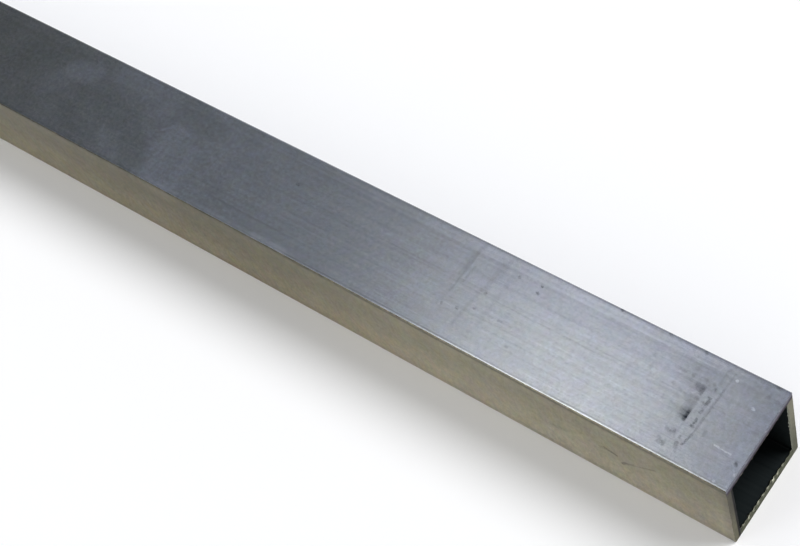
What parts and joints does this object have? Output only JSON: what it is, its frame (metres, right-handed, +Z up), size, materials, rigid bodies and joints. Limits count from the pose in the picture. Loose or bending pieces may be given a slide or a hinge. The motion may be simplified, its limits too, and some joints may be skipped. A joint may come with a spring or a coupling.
{
  "type": "square metal tube",
  "caption": "Straight square metal tube with a thin, even wall, open right through and sawn square at both ends, for framing, legs, brackets and sliding inserts.",
  "frame": {"origin": "middle of the underside, so the tube lies on the floor at z = 0", "axes": "+X along the tube, +Y across it, +Z up"},
  "size_m": [0.3, 0.025, 0.025],
  "materials": {
    "mill_aluminium": "mill finish as extruded, satin, with fine die lines along the length, dull inside"
  },
  "bodies": {
    "root": {"square_tube": "mill_aluminium"}
  },
  "joints": []
}
